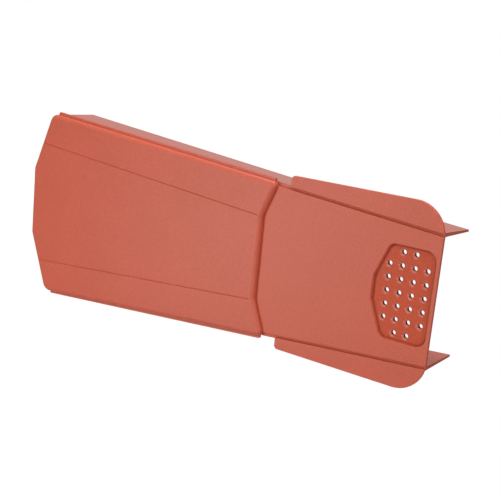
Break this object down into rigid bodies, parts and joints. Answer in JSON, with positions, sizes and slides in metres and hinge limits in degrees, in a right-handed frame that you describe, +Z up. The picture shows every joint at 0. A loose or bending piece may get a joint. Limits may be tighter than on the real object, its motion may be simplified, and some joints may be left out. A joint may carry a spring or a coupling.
{
  "type": "dry verge unit",
  "caption": "Tapered U-section dry verge unit that caps the gable edge of a tiled roof, with a raised cover face, a stepped lap with side wings and a countersunk nailing recess.",
  "frame": {"origin": "centre of the nail hole pattern, on the back face of the nailing pad where it bears on the roof timber", "axes": "+X along the unit from the cover end to the lap end, +Y from the face back into the roof, +Z up across the unit, from the lower leg to the upper one"},
  "size_m": [0.4161, 0.046, 0.1718],
  "materials": {
    "terracotta_plastic": "terracotta polypropylene with a fine spark-eroded satin texture"
  },
  "bodies": {
    "root": {"verge_unit": "terracotta_plastic"}
  },
  "joints": []
}
